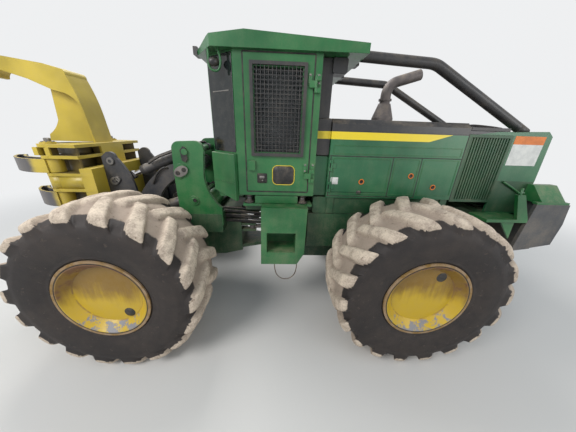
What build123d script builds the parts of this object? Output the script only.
import os
from math import asin, atan2, cos, degrees, hypot, radians, sin, sqrt, tan

from build123d import *

os.makedirs("parts", exist_ok=True)

# The machine drives towards -X, its left side is at -Y, and Z is up from the ground.
# The origin is on the ground under the articulation pins. All sizes are in millimetres.

# Driving sizes of the running gear
wheel_base = 3090
axle_height = 900
tyre_radius = 900
tyre_width = 775
tyre_gauge = 2260
rim_flange_radius = 432
rim_seat_radius = 406
rim_wall = 16
rim_disc_radius = 316
rim_disc_depth = 100
rim_offset = 360
rim_lip = 30
hand_hole_radius = 45
hand_hole_place = 264
lug_count = 18
lug_height = 50
lug_root = 75
lug_top_width = 62
lug_base_width = 86
axle_radius = 130
hub_radius = 190
hub_length = 130
clearance = 6
pin_gap = 0.3

# Joints and hinge lines, as X and Z
pivot_pin_radius = 60
boom_pivot = (-1079, 1944)
head_pivot = (-1790, 1240)
tilt_base = (-1005, 2158)
tilt_eye = (-1790, 1833)
lift_base = (-971, 1579)
lift_eye = (-1559, 1391)
lift_cylinder_y = 295
tilt_cylinder_y = 295
steer_base = (440, 235)
steer_eye = (-300, 235)
steer_height = 1120

# Cab, hood and frame
cab_half = 740
cab_front = -370
cab_rear = 460
cab_nose = -670
cab_nose_half = 500
cab_floor = 1730
cab_top = 3085
cab_wall = 50
door_front = -275
door_rear = 383
door_low = 1781
door_high = 3064
door_thickness = 45
door_gap = 6
hood_half = 680
hood_front = 620
hood_rear = 2120
hood_low = 1700
hood_cover_low = 2430
hood_top = 2550
hood_wall = 30
grille_rear = 2620
cowl_rear = 3060
cowl_top = 2490
rail_half = 340
rail_thickness = 40
rail_low = 950
rail_high = 1500
frame_rear = 3000
hitch_x = 3140
hitch_half = 80
hitch_low = 1080
hitch_thickness = 40
hitch_bore_radius = 25.4


def side_plate(points, y_low, y_high, mode=Mode.ADD):
    """A plate with its outline in X and Z, between two Y values."""
    with BuildSketch(Plane.XZ.offset(-y_high)) as face:
        with BuildLine():
            Polyline(*points, close=True)
        make_face()
    extrude(face.sketch, amount=y_high - y_low, mode=mode)


def outline_edges(steps):
    """Edges through the steps: (x, y) is a straight run, ((x, y), (x, y)) an arc through its first point."""
    here = steps[0]
    for step in steps[1:]:
        if isinstance(step[0], tuple):
            ThreePointArc(here, step[0], step[1])
            here = step[1]
        else:
            Line(here, step)
            here = step


def curved_side_plate(steps, y_low, y_high, mode=Mode.ADD, inset=0):
    """A plate with straight and arced edges in X and Z; an inset draws its outline inwards."""
    with BuildSketch(Plane.XZ.offset(-y_high)) as face:
        with BuildLine():
            outline_edges(steps)
        make_face()
        if inset:
            offset(amount=-inset, kind=Kind.INTERSECTION, mode=Mode.REPLACE)
    extrude(face.sketch, amount=y_high - y_low, mode=mode)


def curved_plan_plate(steps, z_low, z_high, mode=Mode.ADD, inset=0):
    """A plate with straight and arced edges in X and Y; an inset draws its outline inwards."""
    with BuildSketch(Plane.XY.offset(z_low)) as face:
        with BuildLine():
            outline_edges(steps)
        make_face()
        if inset:
            offset(amount=-inset, kind=Kind.INTERSECTION, mode=Mode.REPLACE)
    extrude(face.sketch, amount=z_high - z_low, mode=mode)


def plan_plate(points, z_low, z_high, mode=Mode.ADD):
    """A plate with its outline in X and Y, between two heights."""
    with BuildSketch(Plane.XY.offset(z_low)) as face:
        with BuildLine():
            Polyline(*points, close=True)
        make_face()
    extrude(face.sketch, amount=z_high - z_low, mode=mode)


def cross_plate(points, x_low, x_high, mode=Mode.ADD):
    """A plate with its outline in Y and Z, between two X values."""
    with BuildSketch(Plane.YZ.offset(x_low)) as face:
        with BuildLine():
            Polyline(*points, close=True)
        make_face()
    extrude(face.sketch, amount=x_high - x_low, mode=mode)


def block(x_low, x_high, y_low, y_high, z_low, z_high, mode=Mode.ADD):
    """A box between two corners."""
    middle = ((x_low + x_high) / 2, (y_low + y_high) / 2, (z_low + z_high) / 2)
    with Locations(middle):
        Box(x_high - x_low, y_high - y_low, z_high - z_low, mode=mode)


def rod(start, end, radius, mode=Mode.ADD):
    """A round bar from one point to another."""
    run = Vector(*end) - Vector(*start)
    with BuildSketch(Plane(origin=start, z_dir=run)) as face:
        Circle(radius)
    extrude(face.sketch, amount=run.length, mode=mode)


def cross_bar(place, y_low, y_high, radius, mode=Mode.ADD):
    """A round bar or bore along Y through a point in X and Z."""
    rod((place[0], y_low, place[1]), (place[0], y_high, place[1]), radius, mode)


def upright_bar(x, y, z_low, z_high, radius, mode=Mode.ADD):
    """A round bar or bore along Z."""
    rod((x, y, z_low), (x, y, z_high), radius, mode)


def write(name, part):
    part.label = name
    export_step(part, "parts/" + name + ".step")


# Tyre: a flat sided carcass of one side per lug, with its axis along Z here
carcass_radius = tyre_radius - lug_height
bead_section = (rim_offset - rim_lip - pin_gap, rim_flange_radius + 2)
carcass_sections = (  # distance from the middle plane, radius
    (384, 640),
    (365, 790),
    (300, 835),
    (0, carcass_radius),
)
lug_stations = (  # distance from the middle plane, outer radius, turn behind the centre end
    (8, tyre_radius, 0),
    (205, 893, 7),
    (360, 848, 13),
    (387, 745, 15),
)
side_turn = 360 / lug_count


def lug_face(station):
    across, outer, turn = station
    middle_turn = lug_stations[-1][2] / 2
    slant = radians(turn - middle_turn)
    far = abs(outer * sin(slant)) + lug_top_width / 2
    reach = sqrt(outer**2 - far**2)
    side = outer * sin(slant)
    corners = (
        (reach, side - lug_top_width / 2),
        (reach, side + lug_top_width / 2),
        (reach - lug_root, side + lug_base_width / 2),
        (reach - lug_root, side - lug_base_width / 2),
    )
    with BuildSketch(Plane.XY.offset(across)) as face:
        with BuildLine():
            Polyline(*corners, close=True)
        make_face()
    return face.sketch, Vector(reach, side, across)


def flat_ring(across, radius):
    with BuildSketch(Plane.XY.offset(across)) as ring:
        RegularPolygon(radius, lug_count, major_radius=False)
    return ring.sketch


with BuildPart() as lug:
    for near, far in zip(lug_stations[:-1], lug_stations[1:]):
        face, start = lug_face(near)
        end = lug_face(far)[1]
        extrude(face, amount=(end - start).length, dir=end - start)

with BuildPart() as tyre:
    for (w0, r0), (w1, r1) in zip(carcass_sections[:-1], carcass_sections[1:]):
        loft([flat_ring(w0, r0), flat_ring(w1, r1)], ruled=True)
    loft([flat_ring(*bead_section), flat_ring(*carcass_sections[0])], ruled=True, mode=Mode.SUBTRACT)
    mirror(about=Plane.XY)
    with PolarLocations(0, lug_count):
        add(lug.part)
    with PolarLocations(0, lug_count, start_angle=side_turn / 2):
        add(lug.part.mirror(Plane.XY))
    with BuildSketch(Plane.XY.offset(-tyre_width / 2)) as bore:
        RegularPolygon(rim_seat_radius + pin_gap, lug_count * 2, major_radius=False)
    extrude(bore.sketch, amount=tyre_width, mode=Mode.SUBTRACT)

# Rim: barrel with two flanges and a dished disc near the outer side, axis along Z here
disc_offset = rim_offset - rim_disc_depth
with BuildPart() as rim:
    with BuildSketch(Plane.XZ):
        with BuildLine():
            Polyline(
                (rim_seat_radius, -rim_offset + rim_lip),
                (rim_flange_radius, -rim_offset + rim_wall),
                (rim_flange_radius, -rim_offset),
                (rim_seat_radius - rim_wall, -rim_offset),
                (rim_seat_radius - rim_wall, disc_offset - rim_wall * 3),
                (rim_disc_radius, disc_offset),
                (0, disc_offset),
                (0, disc_offset + rim_wall),
                (rim_disc_radius, disc_offset + rim_wall),
                (rim_seat_radius - rim_wall, rim_offset),
                (rim_flange_radius, rim_offset),
                (rim_flange_radius, rim_offset - rim_wall),
                (rim_seat_radius, rim_offset - rim_lip),
                close=True,
            )
        make_face()
    revolve(axis=Axis.Z)
    with Locations((hand_hole_place, 0, disc_offset)):
        Cylinder(hand_hole_radius, rim_disc_depth, mode=Mode.SUBTRACT)

tip_side = abs(tyre_radius * sin(radians(lug_stations[-1][2] / 2))) + lug_top_width / 2
tip_turn = degrees(asin(tip_side / tyre_radius))
wheels = (  # name, axle X, side of Y, turn of the hand hole
    ("front_left", -wheel_base / 2, -1, 54),
    ("front_right", -wheel_base / 2, 1, 210),
    ("rear_left", wheel_base / 2, -1, 302),
    ("rear_right", wheel_base / 2, 1, 120),
)
for name, x, side, hole_turn in wheels:
    centre = Location((x, side * tyre_gauge / 2, axle_height))
    write("tyre_" + name, centre * Rotation(-90, 0, 0) * Rotation(0, 0, 90 + tip_turn) * tyre.part)
    write("rim_" + name, centre * Rotation(side * -90, 0, 0) * Rotation(0, 0, side * hole_turn) * rim.part)

# Axles: a round housing, a differential case in the middle and a planetary hub at each end
disc_plane = tyre_gauge / 2 + disc_offset
for name, x in (("front", -wheel_base / 2), ("rear", wheel_base / 2)):
    with BuildPart() as axle:
        cross_bar((x, axle_height), 0, disc_plane - hub_length, axle_radius)
        cross_bar((x, axle_height), disc_plane - hub_length, disc_plane, hub_radius)
        cross_bar((x, axle_height), 0, rail_half / 2, axle_radius * 1.4)
        mirror(about=Plane.XZ)
    write(name + "_axle", axle.part)

# Articulation: forked ears with their pins, a bulkhead between rail stubs, and the steering base plates
pivot_ears = ((720, 780), (840, 900), (1260, 1320), (1380, 1440))  # low and high of each rear ear
front_ears = ((785, 835), (1325, 1375))  # low and high of each front ear
ear_radius = 120
ear_root_half = 272
bulkhead_x = 300
bulkhead_low = 700
stub_rear = 520
steer_barrel_radius = 48
steer_pin_radius = 25
steer_plate_front = steer_base[0] - 32
steer_plate_rear = steer_base[0] + 70
steer_plates = ((steer_height - 60, steer_height - 30), (steer_height + 30, steer_height + 60))
steer_window = 62
steer_swing = 16
steer_reach = (steer_base[0] - bulkhead_x) * tan(radians(steer_swing))
steer_sweep = steer_reach + steer_barrel_radius / cos(radians(steer_swing)) + clearance
with BuildPart() as pivot_ear_plates:
    for low, high in pivot_ears:
        plan_plate(
            ((0, -ear_radius), (0, ear_radius), (bulkhead_x, ear_root_half), (bulkhead_x, -ear_root_half)),
            low,
            high,
        )
        upright_bar(0, 0, low, high, ear_radius)
    upright_bar(0, 0, pivot_ears[0][0] - 12, pivot_ears[1][1] + 12, pivot_pin_radius)
    upright_bar(0, 0, pivot_ears[2][0] - 12, pivot_ears[3][1] + 12, pivot_pin_radius)
write("pivot_ears", pivot_ear_plates.part)

with BuildPart() as hinge_frame:
    block(bulkhead_x, bulkhead_x + rail_thickness, -rail_half, rail_half, bulkhead_low, rail_high)
    for side in (-1, 1):
        y_low, y_high = sorted((side * (rail_half - rail_thickness), side * rail_half))
        block(bulkhead_x, stub_rear, y_low, y_high, bulkhead_low, rail_high)
    for side in (-1, 1):
        y_low, y_high = sorted((side * (steer_base[1] - steer_sweep), side * (rail_half + 5)))
        block(bulkhead_x - 10, steer_plate_front, y_low, y_high, steer_height - steer_window,
              steer_height + steer_window, Mode.SUBTRACT)
write("hinge_frame", hinge_frame.part)

with BuildPart() as steer_brackets:
    for low, high in steer_plates:
        block(steer_plate_front, steer_plate_rear, -rail_half + rail_thickness, rail_half - rail_thickness, low, high)
    for side in (-1, 1):
        upright_bar(steer_base[0], side * steer_base[1], steer_height - 75, steer_height + 75, steer_pin_radius)
write("steer_brackets", steer_brackets.part)

# Rear frame: two rails with cross plates, hood posts and the hitch
with BuildPart() as rear_frame:
    side_plate(
        (
            (stub_rear, bulkhead_low),
            (900, bulkhead_low),
            (1250, rail_low),
            (2500, 1080),
            (frame_rear, 1080),
            (frame_rear, rail_high),
            (stub_rear, rail_high),
        ),
        rail_half - rail_thickness,
        rail_half,
    )
    axle_slot = wheel_base / 2
    cross_bar((axle_slot, axle_height), rail_half - rail_thickness, rail_half, axle_radius, Mode.SUBTRACT)
    mirror(about=Plane.XZ)
    for x in (1200, 2000, 2960):
        block(x, x + rail_thickness, -rail_half, rail_half, 1090, rail_high)
    for x in (hood_front + 60, hood_rear - 60, grille_rear + 60):
        block(x - 40, x + 40, -hood_half + 10, hood_half - 10, rail_high, rail_high + 50)
        for side in (-1, 1):
            y_low, y_high = sorted((side * (hood_half - 60), side * (hood_half - 10)))
            top = hood_low if x < grille_rear else 1550
            block(x - 40, x + 40, y_low, y_high, rail_high, top)
    plan_plate(
        (
            (frame_rear - 100, -hitch_half),
            (hitch_x, -hitch_half),
            (hitch_x + hitch_half, -hitch_half / 2),
            (hitch_x + hitch_half, hitch_half / 2),
            (hitch_x, hitch_half),
            (frame_rear - 100, hitch_half),
        ),
        hitch_low,
        hitch_low + hitch_thickness,
    )
    upright_bar(hitch_x, 0, hitch_low - 5, hitch_low + hitch_thickness + 5, hitch_bore_radius, Mode.SUBTRACT)
write("rear_frame", rear_frame.part)

# Cab platform: two long beams and two cross beams on the rails, with pads for the mounts
beam_y = 540
beam_half = 50
platform_front = -330
platform_rear = 600
beam_top = 1600
with BuildPart() as cab_platform:
    for side in (-1, 1):
        y_low = side * beam_y - beam_half
        y_high = side * beam_y + beam_half
        block(platform_front, platform_rear, y_low, y_high, rail_high, beam_top)
        block(platform_front, platform_front + 120, y_low, y_high, beam_top, 1690)
        block(platform_rear - 120, platform_rear, y_low, y_high, beam_top, 1690)
    block(platform_front, platform_front + 100, -beam_y, beam_y, rail_high, beam_top - 20)
    block(bulkhead_x, platform_rear, -beam_y, beam_y, rail_high, beam_top - 20)
write("cab_platform", cab_platform.part)

# Rear axle box, tanks, step column and its loop
tank_half = 660
with BuildPart() as side_tanks:
    for side in (-1, 1):
        y_low, y_high = sorted((side * rail_half, side * tank_half))
        side_plate(
            ((430, 1040), (1280, 1040), (1330, 1120), (2400, 1120), (2400, 1490), (430, 1490)),
            y_low,
            y_high,
        )
write("side_tanks", side_tanks.part)

step_front = -120
step_rear = 390
step_half = 900
step_inner = 590
step_low = 920
step_high = 1630
step_wall = 30
step_hole_low = 1080
step_hole_high = 1330
with BuildPart() as step_column:
    side_plate(
        (
            (step_front, step_high),
            (step_rear, step_high),
            (step_rear - 10, step_low + 150),
            (step_rear - 90, step_low),
            (step_front - 10, step_low),
        ),
        -step_half,
        -step_inner,
    )
    block(step_front + 60, step_rear - 120, -step_half - 10, -step_inner - step_wall, step_hole_low, step_hole_high,
          Mode.SUBTRACT)
write("step_column", step_column.part)

loop_radius = 6
loop_path = ((-40, step_low), (-40, 870), (30, 800), (150, 800), (220, 870), (220, step_low))
with BuildPart() as step_loop:
    with BuildLine(Plane.XZ.offset(750)) as path:
        FilletPolyline(*loop_path, radius=(30, 30, 30, 30))
    with BuildSketch(Plane(origin=path.line @ 0, z_dir=path.line % 0)):
        Circle(loop_radius)
    sweep(path=path.line)
write("step_loop", step_loop.part)

# Cab shell: floor, walls with a tapered nose, windows and the doorway cut through
nose_outline = (
    (cab_rear, -cab_half),
    (cab_front, -cab_half),
    (cab_nose, -cab_nose_half),
    (cab_nose, cab_nose_half),
    (cab_front, cab_half),
    (cab_rear, cab_half),
)
inner_outline = (
    (cab_rear - cab_wall, -cab_half + cab_wall),
    (cab_front + cab_wall / 3, -cab_half + cab_wall),
    (cab_nose + cab_wall, -cab_nose_half + cab_wall / 3),
    (cab_nose + cab_wall, cab_nose_half - cab_wall / 3),
    (cab_front + cab_wall / 3, cab_half - cab_wall),
    (cab_rear - cab_wall, cab_half - cab_wall),
)
window_low = 2190
window_high = 3000
guard_front = -220
guard_rear = 320
nose_turn = degrees(atan2(cab_half - cab_nose_half, cab_front - cab_nose))
nose_length = hypot(cab_half - cab_nose_half, cab_front - cab_nose)
with BuildPart() as cab_shell:
    plan_plate(nose_outline, cab_floor, cab_top)
    plan_plate(inner_outline, cab_floor + cab_wall, cab_top, Mode.SUBTRACT)
    block(cab_nose - 20, cab_nose + 80, -430, 430, window_low, window_high, Mode.SUBTRACT)
    block(door_front - door_gap, door_rear + door_gap, -cab_half - 20, -cab_half + 80, door_low - door_gap,
          door_high + door_gap, Mode.SUBTRACT)
    block(guard_front, guard_rear, cab_half - 80, cab_half + 20, window_low, window_high, Mode.SUBTRACT)
    block(cab_rear - 80, cab_rear + 20, -450, 450, 2600, window_high, Mode.SUBTRACT)
    for side in (-1, 1):
        middle = ((cab_front + cab_nose) / 2, side * (cab_half + cab_nose_half) / 2, (window_low + window_high) / 2)
        out = (-sin(radians(nose_turn)), side * cos(radians(nose_turn)), 0)
        with BuildSketch(Plane(origin=middle, x_dir=(0, 0, 1), z_dir=out)) as pane:
            Rectangle(window_high - window_low, nose_length - 120)
        extrude(pane.sketch, amount=90, both=True, mode=Mode.SUBTRACT)
    side_plate(
        ((cab_nose + 20, 1640), (cab_nose, 1760), (cab_nose, 1790), (cab_front, 1790), (cab_front, 1640)),
        -cab_nose_half,
        cab_nose_half,
    )
    block(cab_nose + 60, cab_front - 30, -440, 440, 1700, 1850, Mode.SUBTRACT)
write("cab_shell", cab_shell.part)

# Cab door with its window guard, on a hinge line outside its rear edge
door_hinge = (405, -762)
door_window = (-180, 280, 2200, 2960)
hinge_heights = (1960, 2830)
hinge_radius = 14
with BuildPart() as cab_door:
    block(door_front, door_rear, -cab_half - 5, -cab_half - 5 + door_thickness, door_low, door_high)
    block(door_window[0], door_window[1], -cab_half - 20, -cab_half + 80, door_window[2], door_window[3],
          Mode.SUBTRACT)
    for height in hinge_heights:
        block(door_rear - 40, door_hinge[0], door_hinge[1] - 8, -cab_half - 5, height - 30, height + 30)
        upright_bar(*door_hinge, height - 30, height + 30, hinge_radius)
    block(door_front + 20, door_front + 90, -cab_half - 35, -cab_half - 5, 2010, 2110)
write("cab_door", cab_door.part)

with BuildPart() as door_hinges:
    for height in hinge_heights:
        for low, high in ((height - 70, height - 30 - pin_gap), (height + 30 + pin_gap, height + 70)):
            upright_bar(*door_hinge, low, high, hinge_radius)
            block(door_hinge[0], door_hinge[0] + 45, door_hinge[1] - 8, -cab_half, low, high)
write("door_hinges", door_hinges.part)

# Window guards: a frame with a woven wire grid
guard_wire = 6
guard_columns = 13
guard_rows = 20


def guard(y_outer, y_inner):
    block(guard_front, guard_rear, y_outer, y_inner, window_low - 30, window_high)
    block(guard_front + 30, guard_rear - 30, y_outer - 10, y_inner + 10, window_low, window_high - 30, Mode.SUBTRACT)
    middle = (y_outer + y_inner) / 2
    step = (guard_rear - guard_front - 60) / guard_columns
    for column in range(1, guard_columns):
        x = guard_front + 30 + column * step
        block(x - guard_wire / 2, x + guard_wire / 2, middle - 3, middle + 3, window_low - 5, window_high - 25)
    step = (window_high - window_low - 30) / guard_rows
    for row in range(1, guard_rows):
        z = window_low + row * step
        block(guard_front + 25, guard_rear - 25, middle - 3, middle + 3, z - guard_wire / 2, z + guard_wire / 2)


with BuildPart() as door_guard:
    guard(-cab_half - 30, -cab_half - 5)
write("door_guard", door_guard.part)
with BuildPart() as side_guard:
    guard(cab_half, cab_half + 25)
write("side_guard", side_guard.part)

glass = 8
with BuildPart() as door_glass:
    block(door_window[0] - 12, door_window[1] + 12, -cab_half + 40, -cab_half + 40 + glass, door_window[2] - 12,
          door_window[3] + 12)
write("door_glass", door_glass.part)

with BuildPart() as cab_glass:
    block(cab_nose + cab_wall, cab_nose + cab_wall + glass, -440, 440, window_low - 10, window_high + 10)
    block(cab_rear - cab_wall - glass, cab_rear - cab_wall, -465, 465, 2590, window_high + 10)
    block(guard_front - 15, guard_rear + 15, cab_half - cab_wall - glass, cab_half - cab_wall, window_low - 10,
          window_high + 10)
    for side in (-1, 1):
        middle = ((cab_front + cab_nose) / 2, side * (cab_half + cab_nose_half) / 2, (window_low + window_high) / 2)
        out = (-sin(radians(nose_turn)), side * cos(radians(nose_turn)), 0)
        with BuildSketch(Plane(origin=middle, x_dir=(0, 0, 1), z_dir=out).offset(-30)) as pane:
            Rectangle(window_high - window_low - 1, nose_length - 121)
        extrude(pane.sketch, amount=glass)
write("cab_glass", cab_glass.part)

# Roof: its side view cut to its plan
roof_half = 780
roof_low = cab_top
roof_profile = ((-760, roof_low), (-760, 3125), (-600, 3170), (-255, 3219), (869, 3164), (869, roof_low))
roof_plan = (
    (869, -roof_half),
    (-560, -roof_half),
    (-760, -480),
    (-760, 480),
    (-560, roof_half),
    (869, roof_half),
)
with BuildPart() as cab_roof:
    side_plate(roof_profile, -roof_half, roof_half)
    plan_plate(roof_plan, roof_low - 10, 3300, Mode.INTERSECT)
write("cab_roof", cab_roof.part)

with BuildPart() as cab_seat:
    block(-150, 330, -240, 240, 2120, 2230)
    block(-50, 230, -150, 150, cab_floor + cab_wall, 2120)
    side_plate(((230, 2230), (350, 2230), (400, 2850), (310, 2850)), -230, 230)
    for side in (-1, 1):
        y_low, y_high = sorted((side * 250, side * 330))
        block(-200, 200, y_low, y_high, 2300, 2360)
        y_low, y_high = sorted((side * 240, side * 330))
        block(100, 200, y_low, y_high, 2160, 2300)
write("cab_seat", cab_seat.part)

with BuildPart() as cab_mounts:
    for x in (-270, 540 - 160):
        for y in (-560, 560):
            upright_bar(x, y, 1690, cab_floor, 50)
write("cab_mounts", cab_mounts.part)

# Hood: sides with door openings, black cover, engine doors, grilles and rear cowl
engine_door = (640, 1335, 1770, 2170)
engine_hinge_heights = (1830, 2070)
with BuildPart() as hood_shell:
    cross_plate(
        (
            (-hood_half, hood_low),
            (hood_half, hood_low),
            (hood_half, hood_cover_low),
            (-hood_half, hood_cover_low),
        ),
        hood_front,
        hood_rear,
    )
    block(hood_front + hood_wall, hood_rear + 10, -hood_half + hood_wall, hood_half - hood_wall, hood_low - 10,
          hood_cover_low + 10, Mode.SUBTRACT)
    for side in (-1, 1):
        block(engine_door[0] - 5, engine_door[1] + 5, side * hood_half - 60, side * hood_half + 60,
              engine_door[2] - 5, engine_door[3] + 5, Mode.SUBTRACT)
    for side in (-1, 1):
        hinge_y = side * (hood_half + 12)
        y_low, y_high = sorted((side * hood_half, hinge_y))
        for height in engine_hinge_heights:
            for low, high in ((height - 60, height - 25 - pin_gap), (height + 25 + pin_gap, height + 60)):
                upright_bar(engine_door[0] + 12, hinge_y, low, high, 11)
                block(hood_front + 5, engine_door[0] + 12, y_low, y_high, low, high)
write("hood_shell", hood_shell.part)

with BuildPart() as hood_cover:
    cross_plate(
        (
            (-hood_half, hood_cover_low),
            (hood_half, hood_cover_low),
            (hood_half, hood_top - 50),
            (hood_half - 60, hood_top),
            (-hood_half + 60, hood_top),
            (-hood_half, hood_top - 50),
        ),
        hood_front,
        hood_rear,
    )
    block(hood_front + 30, hood_rear - 30, -hood_half + 40, hood_half - 40, hood_cover_low - 10, hood_top - 30,
          Mode.SUBTRACT)
write("hood_cover", hood_cover.part)

for name, side in (("left", -1), ("right", 1)):
    with BuildPart() as door:
        y_low, y_high = sorted((side * hood_half, side * (hood_half - hood_wall)))
        block(engine_door[0], engine_door[1], y_low, y_high, engine_door[2], engine_door[3])
        hinge_y = side * (hood_half + 12)
        for height in engine_hinge_heights:
            upright_bar(engine_door[0] + 12, hinge_y, height - 25, height + 25, 11)
            y_low, y_high = sorted((side * hood_half, hinge_y))
            block(engine_door[0] + 12, engine_door[0] + 60, y_low, y_high, height - 25, height + 25)
    write("engine_door_" + name, door.part)

with BuildPart() as engine_block:
    block(900, 1900, -280, 280, rail_high, 2200)
write("engine_block", engine_block.part)

grille_low = 1680
slat_count = 14
with BuildPart() as side_grilles:
    for side in (-1, 1):
        y_low, y_high = sorted((side * hood_half, side * (hood_half - 40)))
        block(hood_rear, grille_rear, y_low, y_high, grille_low, 2440)
        block(hood_rear + 32, grille_rear - 30, y_low - 5, y_high + 5, grille_low + 30, 2410, Mode.SUBTRACT)
        pitch = (grille_rear - hood_rear - 62) / slat_count
        for slat in range(slat_count):
            x = hood_rear + 32 + (slat + 0.5) * pitch
            block(x - 8, x + 8, y_low + 8, y_high - 8, grille_low + 25, 2415)
write("side_grilles", side_grilles.part)

with BuildPart() as rear_cowl:
    block(hood_rear, grille_rear, -hood_half, hood_half, 2440, 2475)
    side_plate(
        ((grille_rear, 1550), (grille_rear, 2475), (3000, cowl_top), (cowl_rear, 2440), (3080, 1966), (3080, 1550)),
        -hood_half,
        hood_half,
    )
    side_plate(
        ((grille_rear - 1, 1540), (grille_rear - 1, 2440), (2980, 2450), (3020, 2400), (3040, 1966), (3040, 1540)),
        -hood_half + 40,
        hood_half - 40,
        Mode.SUBTRACT,
    )
    block(2990, 3100, -520, 520, 1700, 2360, Mode.SUBTRACT)
write("rear_cowl", rear_cowl.part)

with BuildPart() as rear_grille:
    block(3006, 3020.6, -560, 560, 1640, 2380)
write("rear_grille", rear_grille.part)

bumper_half = 920
bumper_top = 1735
wing_inner = 880
with BuildPart() as rear_bumper:
    side_plate(
        (
            (3085, bumper_top),
            (3330, bumper_top),
            (3360, 1500),
            (3336, 1238),
            (frame_rear, 1170),
            (frame_rear, rail_high),
            (3085, 1510),
        ),
        -bumper_half,
        bumper_half,
    )
    for side in (-1, 1):
        y_low, y_high = sorted((side * wing_inner, side * bumper_half))
        side_plate(((2940, bumper_top), (3100, bumper_top), (3100, 1180), (2879, 1147)), y_low, y_high)
write("rear_bumper", rear_bumper.part)

# Rear steps: a platform with a gusset and a post in front of the bumper, and a wedge box on its top
platform_low = 1515
platform_top = 1550
wedge_inner = hood_half + 2
with BuildPart() as rear_steps:
    block(2430, 2915, -bumper_half, -hood_half + 10, platform_low, platform_top)
    side_plate(((2629, platform_low), (2790, platform_low), (2802, 1301)), -wing_inner - 20, -wing_inner)
    side_plate(((2785, platform_top), (2915, platform_top), (2762, 1840), (2673, 1840)), -bumper_half, -wing_inner)
    cross_plate(
        ((-bumper_half, bumper_top), (-750, 1920), (-wedge_inner, 1920), (-wedge_inner, bumper_top)),
        3010,
        3290,
    )
    mirror(about=Plane.XZ)
write("rear_steps", rear_steps.part)

exhaust_place = (1376, -100)
exhaust_radius = 60
exhaust_wall = 4
exhaust_steps = (  # low, high, low radius, high radius
    (hood_top, 2597, 128, 128),
    (2597, 2765, 128, 72),
    (2795, 2818, 76, 76),
)
exhaust_path = (
    (exhaust_place[0], exhaust_place[1], 2700),
    (exhaust_place[0], exhaust_place[1], 2975),
    (1752, exhaust_place[1], 3092),
)
with BuildPart() as exhaust_stack:
    for low, high, low_radius, high_radius in exhaust_steps:
        if low_radius == high_radius:
            upright_bar(*exhaust_place, low, high, low_radius)
        else:
            with Locations((*exhaust_place, (low + high) / 2)):
                Cone(low_radius, high_radius, high - low)
    with BuildLine() as path:
        FilletPolyline(*exhaust_path, radius=150)
    with BuildSketch(Plane(origin=path.line @ 0, z_dir=path.line % 0)):
        Circle(exhaust_radius)
    sweep(path=path.line)
    outlet = path.line @ 1
    rod(outlet - (path.line % 1) * 150, outlet + (path.line % 1) * 10, exhaust_radius - exhaust_wall, Mode.SUBTRACT)
write("exhaust_stack", exhaust_stack.part)

with BuildPart() as limb_risers:
    for side in (-1, 1):
        with BuildLine() as path:
            FilletPolyline((871, side * 550, 3125), (1640, side * 550, 3090), (2750, side * 550, 2531), radius=300)
        with BuildSketch(Plane(origin=path.line @ 0, z_dir=path.line % 0)):
            Circle(50)
        sweep(path=path.line)
write("limb_risers", limb_risers.part)

with BuildPart() as work_lamps:
    for y in (-420, 420):
        block(-800, -760, y - 70, y + 70, 3090, 3160)
    for y in (-300, 300):
        block(869, 910, y - 70, y + 70, 3090, 3150)
write("work_lamps", work_lamps.part)

# Front frame with the tower plates
with BuildPart() as front_frame:
    side_plate(((-450, 760), (-450, 1400), (-1180, 1400), (-1350, 1100), (-1700, 1080), (-1720, 700), (-700, 700)),
               -300, 300)
    cross_bar((-wheel_base / 2, axle_height), -310, 310, axle_radius * 1.4 + 1, Mode.SUBTRACT)
    block(-1150, -650, -520, 520, 1150, 1400)
    for low, high in front_ears:
        plan_plate(((0, -110), (0, 110), (-451, 270), (-451, -270)), low, high)
        upright_bar(0, 0, low, high, 110)
        upright_bar(0, 0, low - 10, high + 10, pivot_pin_radius + pin_gap, Mode.SUBTRACT)
    for side in (-1, 1):
        y_low, y_high = sorted((side * (steer_eye[1] - 50), side * (steer_eye[1] + 50)))
        for low, high in ((steer_height - 60, steer_height - 31), (steer_height + 31, steer_height + 60)):
            block(-451, steer_eye[0] + 50, y_low, y_high, low, high)
write("front_frame", front_frame.part)

tower_outer = 520
tower_inner = 460
tower_outline = (
    (-1160, 1250),
    (-1165, 1800),
    (-1150, 2170),
    ((-1125, 2245), (-1060, 2270)),
    (-900, 2278),
    ((-815, 2240), (-800, 2140)),
    (-815, 1990),
    ((-790, 1700), (-640, 1475)),
    (-640, 1250),
    (-1160, 1250),
)
shaft_radius = 35
boss_height = 14
pivot_radius = 45
with BuildPart() as tower_plates:
    curved_side_plate(tower_outline, tower_inner, tower_outer)
    block(-1150, -650, tower_inner - 10, tower_outer + 10, 1150, 1400, Mode.SUBTRACT)
    side_plate(((-860, 1650), (-800, 1650), (-760, 1480), (-860, 1480)), tower_inner - 60, tower_inner)
    cross_bar(boom_pivot, tower_outer, tower_outer + boss_height, pivot_radius + 35)
    cross_bar((boom_pivot[0] - 28, boom_pivot[1] - 40), tower_outer, tower_outer + boss_height, 55)
    side_plate(((-1055, 2175), (-1015, 2220), (-985, 2200), (-975, 2080), (-1005, 2040), (-1045, 2060)), tower_outer,
               tower_outer + boss_height)
    cross_bar(lift_base, tower_outer, tower_outer + boss_height, shaft_radius + 25)
    cross_bar(boom_pivot, tower_inner - 5, tower_outer + boss_height + 5, pivot_radius + pin_gap, Mode.SUBTRACT)
    mirror(about=Plane.XZ)
    cross_bar(tilt_base, -tower_outer - boss_height - 10, tower_outer + boss_height + 10, shaft_radius)
    cross_bar(lift_base, -tower_outer - boss_height - 10, tower_outer + boss_height + 10, shaft_radius)
write("tower_plates", tower_plates.part)

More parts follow.
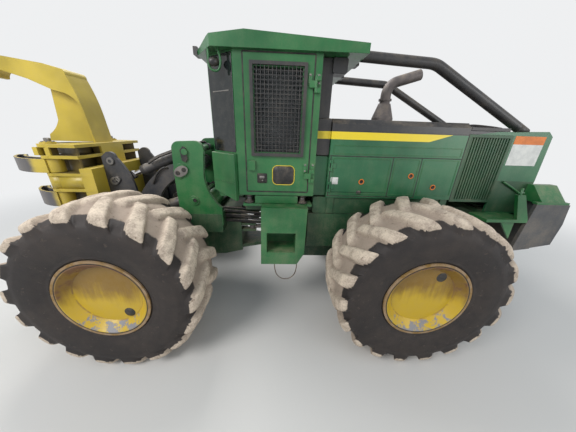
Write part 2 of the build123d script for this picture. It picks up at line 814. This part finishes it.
# Boom: two arms outside the frame, joined by the pivot tube and a cross tube
arm_inner = 380
arm_outer = 440
arm_outline = (
    (-1000, 1944),
    ((-1040, 2020), (-1120, 2030)),
    (-1260, 1985),
    ((-1480, 1830), (-1640, 1640)),
    (-1865, 1290),
    ((-1835, 1190), (-1740, 1175)),
    (-1640, 1310),
    ((-1560, 1345), (-1480, 1420)),
    ((-1330, 1720), (-1150, 1850)),
    ((-1040, 1860), (-1000, 1944)),
)
head_pin_radius = 40
with BuildPart() as boom_arms:
    curved_side_plate(arm_outline, arm_inner, arm_outer)
    cross_bar(lift_eye, arm_inner - 18, arm_outer + 12, 62)
    cross_bar(boom_pivot, 0, arm_outer, 70)
    cross_bar(boom_pivot, arm_outer, tower_outer + boss_height + 10, pivot_radius)
    cross_bar((-1480, 1700), 0, arm_inner, 60)
    cross_bar(head_pivot, 290, arm_inner, head_pin_radius)
    mirror(about=Plane.XZ)
write("boom_arms", boom_arms.part)


# Cylinders: a barrel with an eye on its base, and a rod with an eye, along a line between two pins
def eye_ring(place, side_axis, radius, width, bore):
    plane = Plane(origin=place - side_axis * (width / 2), z_dir=side_axis)
    with BuildSketch(plane) as ring:
        Circle(radius)
        if bore:
            Circle(bore, mode=Mode.SUBTRACT)
    extrude(ring.sketch, amount=width)


def barrel_solid(base, eye, side_axis, radius, rod_radius, length, eye_radius, eye_width, bore):
    run = eye - base
    along = run.normalized()
    with BuildSketch(Plane(origin=base, z_dir=along)) as neck:
        Circle(eye_width * 0.45)
    extrude(neck.sketch, amount=eye_radius + 20)
    with BuildSketch(Plane(origin=base + along * (eye_radius + 10), z_dir=along)) as tube:
        Circle(radius)
    extrude(tube.sketch, amount=length - eye_radius - 10)
    eye_ring(base, side_axis, eye_radius, eye_width, None)
    with BuildSketch(Plane(origin=base - side_axis * eye_width, z_dir=side_axis)) as hole:
        Circle(bore)
    extrude(hole.sketch, amount=eye_width * 2, mode=Mode.SUBTRACT)
    with BuildSketch(Plane(origin=base + along * (eye_radius + 30), z_dir=along)) as cavity:
        Circle(rod_radius + pin_gap)
    extrude(cavity.sketch, amount=length, mode=Mode.SUBTRACT)


def rod_solid(base, eye, side_axis, rod_radius, inside, eye_radius, eye_width):
    run = eye - base
    along = run.normalized()
    start = base + along * inside
    with BuildSketch(Plane(origin=start, z_dir=along)) as bar:
        Circle(rod_radius)
    extrude(bar.sketch, amount=(eye - start).length)
    eye_ring(eye, side_axis, eye_radius, eye_width, None)


def xz(place, y):
    return Vector(place[0], y, place[1])


across_axis = Vector(0, 1, 0)
upright_axis = Vector(0, 0, 1)
pair_table = (  # name, base, eye, Y, barrel radius, rod radius, barrel length, rod start, eye radius, eye width
    ("lift", lift_base, lift_eye, lift_cylinder_y, 68, 36, 490, 120, 56, 64),
    ("tilt", tilt_base, tilt_eye, tilt_cylinder_y, 58, 32, 640, 175, 52, 60),
)
for name, base, eye, y, radius, rod_radius, length, inside, eye_radius, eye_width in pair_table:
    with BuildPart() as barrels:
        barrel_solid(xz(base, y), xz(eye, y), across_axis, radius, rod_radius, length, eye_radius, eye_width,
                     shaft_radius + pin_gap)
        mirror(about=Plane.XZ)
    write(name + "_barrels", barrels.part)
    with BuildPart() as rods:
        rod_solid(xz(base, y), xz(eye, y), across_axis, rod_radius, inside, eye_radius, eye_width)
        mirror(about=Plane.XZ)
    write(name + "_rods", rods.part)

for name, side in (("left", -1), ("right", 1)):
    base = Vector(steer_base[0], side * steer_base[1], steer_height)
    eye = Vector(steer_eye[0], side * steer_eye[1], steer_height)
    with BuildPart() as barrel:
        barrel_solid(base, eye, upright_axis, steer_barrel_radius, 28, 430, 45, 50, steer_pin_radius + pin_gap)
    write("steer_barrel_" + name, barrel.part)
    with BuildPart() as steer_rod:
        rod_solid(base, eye, upright_axis, 28, 250, 42, 50)
    write("steer_rod_" + name, steer_rod.part)

# Felling head: link bracket, yellow frame with the horn, saw housing and disc
column_rear = -2060
arm_pivot = (-2508, 480)
arm_pin_radius = 35
bracket_outer = 374
bracket_inner = 338
bracket_outline = (
    (column_rear, 1180),
    (-1830, 1160),
    ((-1720, 1170), (-1712, 1260)),
    (-1735, 1640),
    ((-1790, 1880), (-1890, 2050)),
    ((-1940, 2115), (-2010, 2100)),
    (column_rear, 2060),
    (column_rear, 1180),
)
bracket_boss = (-1971, 1766)
with BuildPart() as head_bracket:
    curved_side_plate(bracket_outline, bracket_inner, bracket_outer)
    cross_bar(bracket_boss, bracket_outer, bracket_outer + boss_height, 52)
    cross_bar((bracket_boss[0] + 40, bracket_boss[1] + 22), bracket_outer, bracket_outer + boss_height, 40)
    cross_bar((-1960, 2010), bracket_outer, bracket_outer + boss_height, 46)
    cross_bar(head_pivot, bracket_inner - 10, bracket_outer + 10, head_pin_radius + pin_gap, Mode.SUBTRACT)
    mirror(about=Plane.XZ)
write("head_bracket", head_bracket.part)

# The horn is a cover plate with a mid web behind the tree, and a hollow arm that hooks over its top
horn_half = 150
horn_low = 2200
horn_outline = (
    (-2250, horn_low),
    (-2277, 2470),
    ((-2312, 2706), (-2378, 2930)),
    ((-2389, 2972), (-2425, 2989)),
    (-2599, 3033),
    (-3011, 3087),
    (-3180, 3098),
    ((-3312, 3080), (-3360, 2990)),
    (-3352, 2900),
    (-3312, 2904),
    ((-3275, 2968), (-3200, 2982)),
    (-3071, 2950),
    (-2808, 2874),
    (-2575, 2773),
    (-2447, 2743),
    ((-2330, 2648), (-2297, 2441)),
    (-2272, horn_low),
    (-2250, horn_low),
)
horn_hollow = (
    (-2445, 2790),
    (-2570, 2806),
    (-2800, 2908),
    (-3071, 2985),
    (-3200, 3014),
    (-3280, 3020),
    (-3200, 3066),
    (-3011, 3056),
    (-2599, 3002),
    (-2445, 2962),
)
horn_wall = 30
web_thickness = 40
web_outline = (
    (-2255, horn_low),
    (-2283, 2470),
    ((-2325, 2655), (-2447, 2756)),
    (-2575, 2786),
    (-2704, 2842),
    (-2737, 2454),
    ((-2810, 2350), (-2900, 2280)),
    (-2917, horn_low),
    (-2255, horn_low),
)
deck_half = 560
deck_thickness = 35
deck_front = -2570
pocket_back = -2330
knuckle_radius = 95
deck_heights = (1450, 1670, 1850, 2045, 2165)  # underside of each deck
housing_low = 120
housing_high = 380
saw_centre = (-2550, 0)
saw_radius = 640
housing_radius = 675
housing_wall = 20
upper_deck_rear = -2164
upper_deck_low = 2000
column_top = 1940
pocket_end = 350
pocket_wall = 25
pocket_sagitta = arm_pivot[0] - 10 - pocket_back
pocket_chord = arm_pivot[1] - knuckle_radius
pocket_radius = (pocket_chord**2 + pocket_sagitta**2) / (2 * abs(pocket_sagitta))
pocket_centre = pocket_back - pocket_radius
deck_outline = (
    (column_rear, -deck_half),
    (arm_pivot[0] + 40, -deck_half - 10),
    ((arm_pivot[0] - knuckle_radius, -arm_pivot[1]), (arm_pivot[0] - 10, -arm_pivot[1] + knuckle_radius)),
    ((pocket_back, 0), (arm_pivot[0] - 10, arm_pivot[1] - knuckle_radius)),
    ((arm_pivot[0] - knuckle_radius, arm_pivot[1]), (arm_pivot[0] + 40, deck_half + 10)),
    (column_rear, deck_half),
    (column_rear, -deck_half),
)
wall_front = pocket_centre + sqrt(pocket_radius**2 - pocket_end**2)
wall_outline = (
    (wall_front, -pocket_end),
    ((pocket_back, 0), (wall_front, pocket_end)),
    (wall_front + pocket_wall, pocket_end),
    ((pocket_back + pocket_wall, 0), (wall_front + pocket_wall, -pocket_end)),
    (wall_front, -pocket_end),
)
spine_half = 330
box_half = 197
lug_runs = ((-2612, -2562), (-2490, -2440))
with BuildPart() as head_frame:
    curved_side_plate(horn_outline, -horn_half, horn_half)
    side_plate(horn_hollow, -horn_half + horn_wall, horn_half - horn_wall, Mode.SUBTRACT)
    curved_side_plate(web_outline, -web_thickness / 2, web_thickness / 2)
    for low in deck_heights:
        curved_plan_plate(deck_outline, low, low + deck_thickness)
    block(upper_deck_rear, column_rear + 10, -deck_half - 20, deck_half + 20, upper_deck_low, horn_low + 10,
          Mode.SUBTRACT)
    curved_plan_plate(wall_outline, deck_heights[0], deck_heights[-1])
    block(-2250, column_rear, -spine_half, spine_half, housing_high, deck_heights[0])
    block(-2220, column_rear - 30, -spine_half + 30, spine_half - 30, housing_high, deck_heights[0], Mode.SUBTRACT)
    block(-2200, column_rear, -deck_half, deck_half, deck_heights[0], column_top)
    block(-2170, column_rear - 30, -deck_half + 30, deck_half - 30, deck_heights[0] + deck_thickness,
          column_top - 30, Mode.SUBTRACT)
    block(-2270, upper_deck_rear, -box_half, box_half, column_top - 30, horn_low)
    for run in lug_runs:
        block(*run, -deck_half - 10, -arm_pivot[1] + 10, deck_heights[3] + deck_thickness, deck_heights[4])
    for side in (-1, 1):
        upright_bar(arm_pivot[0], side * arm_pivot[1], deck_heights[0] - 30, deck_heights[-1] + 60, arm_pin_radius)
        upright_bar(arm_pivot[0], side * arm_pivot[1], deck_heights[-1] + deck_thickness,
                    deck_heights[-1] + deck_thickness + 18, 70)
write("head_frame", head_frame.part)

# Saw housing: butt plate over the disc and a skirt round its back, open in front
skirt_front = -2700
housing_brace = ((column_rear, housing_high), (-1890, housing_high), (-1890, 600), (-1960, 640), (column_rear, 640))
with BuildPart() as saw_housing:
    upright_bar(*saw_centre, housing_high - 40, housing_high, housing_radius)
    upright_bar(*saw_centre, housing_low, housing_high, housing_radius)
    upright_bar(*saw_centre, housing_low - 1, housing_high - 40, housing_radius - housing_wall, Mode.SUBTRACT)
    block(saw_centre[0] - 800, skirt_front, -800, 800, housing_low - 1, housing_high - 40, Mode.SUBTRACT)
    upright_bar(saw_centre[0] - 560, 0, housing_high - 50, housing_high + 10, 260, Mode.SUBTRACT)
    side_plate(housing_brace, -330, -300)
    side_plate(housing_brace, 300, 330)
write("saw_housing", saw_housing.part)

saw_low = 200
saw_high = 240
tooth_count = 18
with BuildPart() as saw_disc:
    upright_bar(*saw_centre, saw_low, saw_high, saw_radius - 45)
    upright_bar(*saw_centre, saw_high, housing_high - 40 - pin_gap, 120)
    upright_bar(*saw_centre, saw_low - 30, saw_low, 150)
    with Locations((saw_centre[0], saw_centre[1], (saw_low + saw_high) / 2)):
        with PolarLocations(saw_radius - 45, tooth_count):
            Box(90, 56, 56)
write("saw_disc", saw_disc.part)

# Gathering arms: open trays with a deep outer band, on the same pivots
long_arm = (  # outer edge, tip and inner edge of a left arm
    (-2520, -575),
    ((-2890, -500), (-3180, -215)),
    (-3112, -168),
    ((-2862, -372), (-2560, -400)),
)
short_arm = (
    (-2520, -575),
    ((-2760, -510), (-2960, -300)),
    (-2890, -250),
    ((-2752, -378), (-2560, -400)),
)
tray_floor = 30
tray_wall = 22
arms = (  # name, side, low, high, outline
    ("harvest_arm_left", -1, deck_heights[0] + deck_thickness + 5, deck_heights[1] - 5, short_arm),
    ("accumulator_arm_left", -1, deck_heights[2] + deck_thickness + 5, deck_heights[3] - 5, long_arm),
    ("accumulator_arm_right", 1, deck_heights[3] + deck_thickness + 5, deck_heights[4] - 5, long_arm),
)
for name, side, low, high, outline in arms:
    outer, outer_arc, tip, inner_arc = [
        (point[0], -side * point[1]) if not isinstance(point[0], tuple)
        else tuple((x, -side * y) for x, y in point)
        for point in outline
    ]
    with BuildPart() as grab:
        steps = (outer, outer_arc, tip, inner_arc, outer)
        curved_plan_plate(steps, low, high)
        curved_plan_plate(steps, low + tray_floor, high + 10, Mode.SUBTRACT, inset=tray_wall)
        upright_bar(arm_pivot[0], side * arm_pivot[1], low, high, knuckle_radius - 15)
        upright_bar(arm_pivot[0], side * arm_pivot[1], low - 5, high + 5, arm_pin_radius + pin_gap, Mode.SUBTRACT)
    write(name, grab.part)
